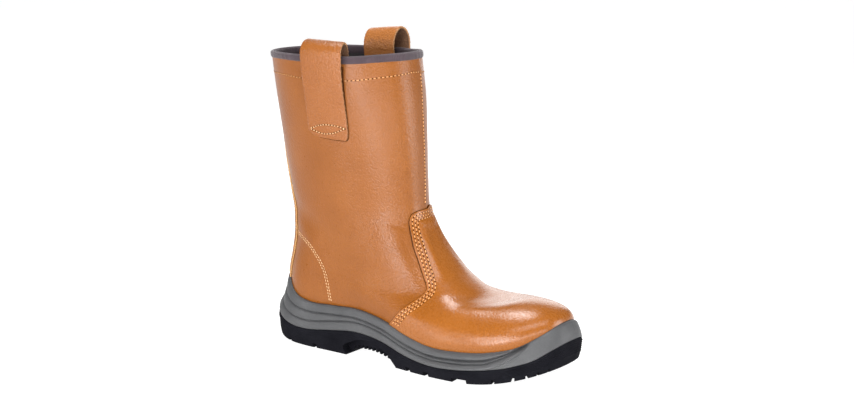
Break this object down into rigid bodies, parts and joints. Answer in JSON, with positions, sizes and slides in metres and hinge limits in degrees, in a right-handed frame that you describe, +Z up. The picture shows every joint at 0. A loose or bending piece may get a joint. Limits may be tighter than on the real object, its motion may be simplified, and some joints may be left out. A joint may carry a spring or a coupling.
{
  "type": "safety boot",
  "caption": "Pull-on leather safety boot for the right foot: hollow upper with front overlay, bound collar and pull loops on a grey midsole and black lugged outsole.",
  "frame": {"origin": "centre of the box around the boot, on the floor under the sole", "axes": "+X from heel to toe, +Y to the inner side of this right boot, +Z up"},
  "size_m": [0.3086, 0.1252, 0.2885],
  "materials": {
    "leather": "smooth, waxed",
    "strip_leather": "smooth with raw edges",
    "binding_tape": "woven",
    "insole_felt": "matt",
    "grey_midsole": "matt",
    "black_outsole": "matt"
  },
  "bodies": {
    "root": {"upper": "leather", "vamp": "leather", "back_strip": "strip_leather", "pull_loop_outer": "strip_leather", "pull_loop_inner": "strip_leather", "collar_binding": "binding_tape", "insole": "insole_felt", "midsole": "grey_midsole", "outsole": "black_outsole"}
  },
  "joints": []
}
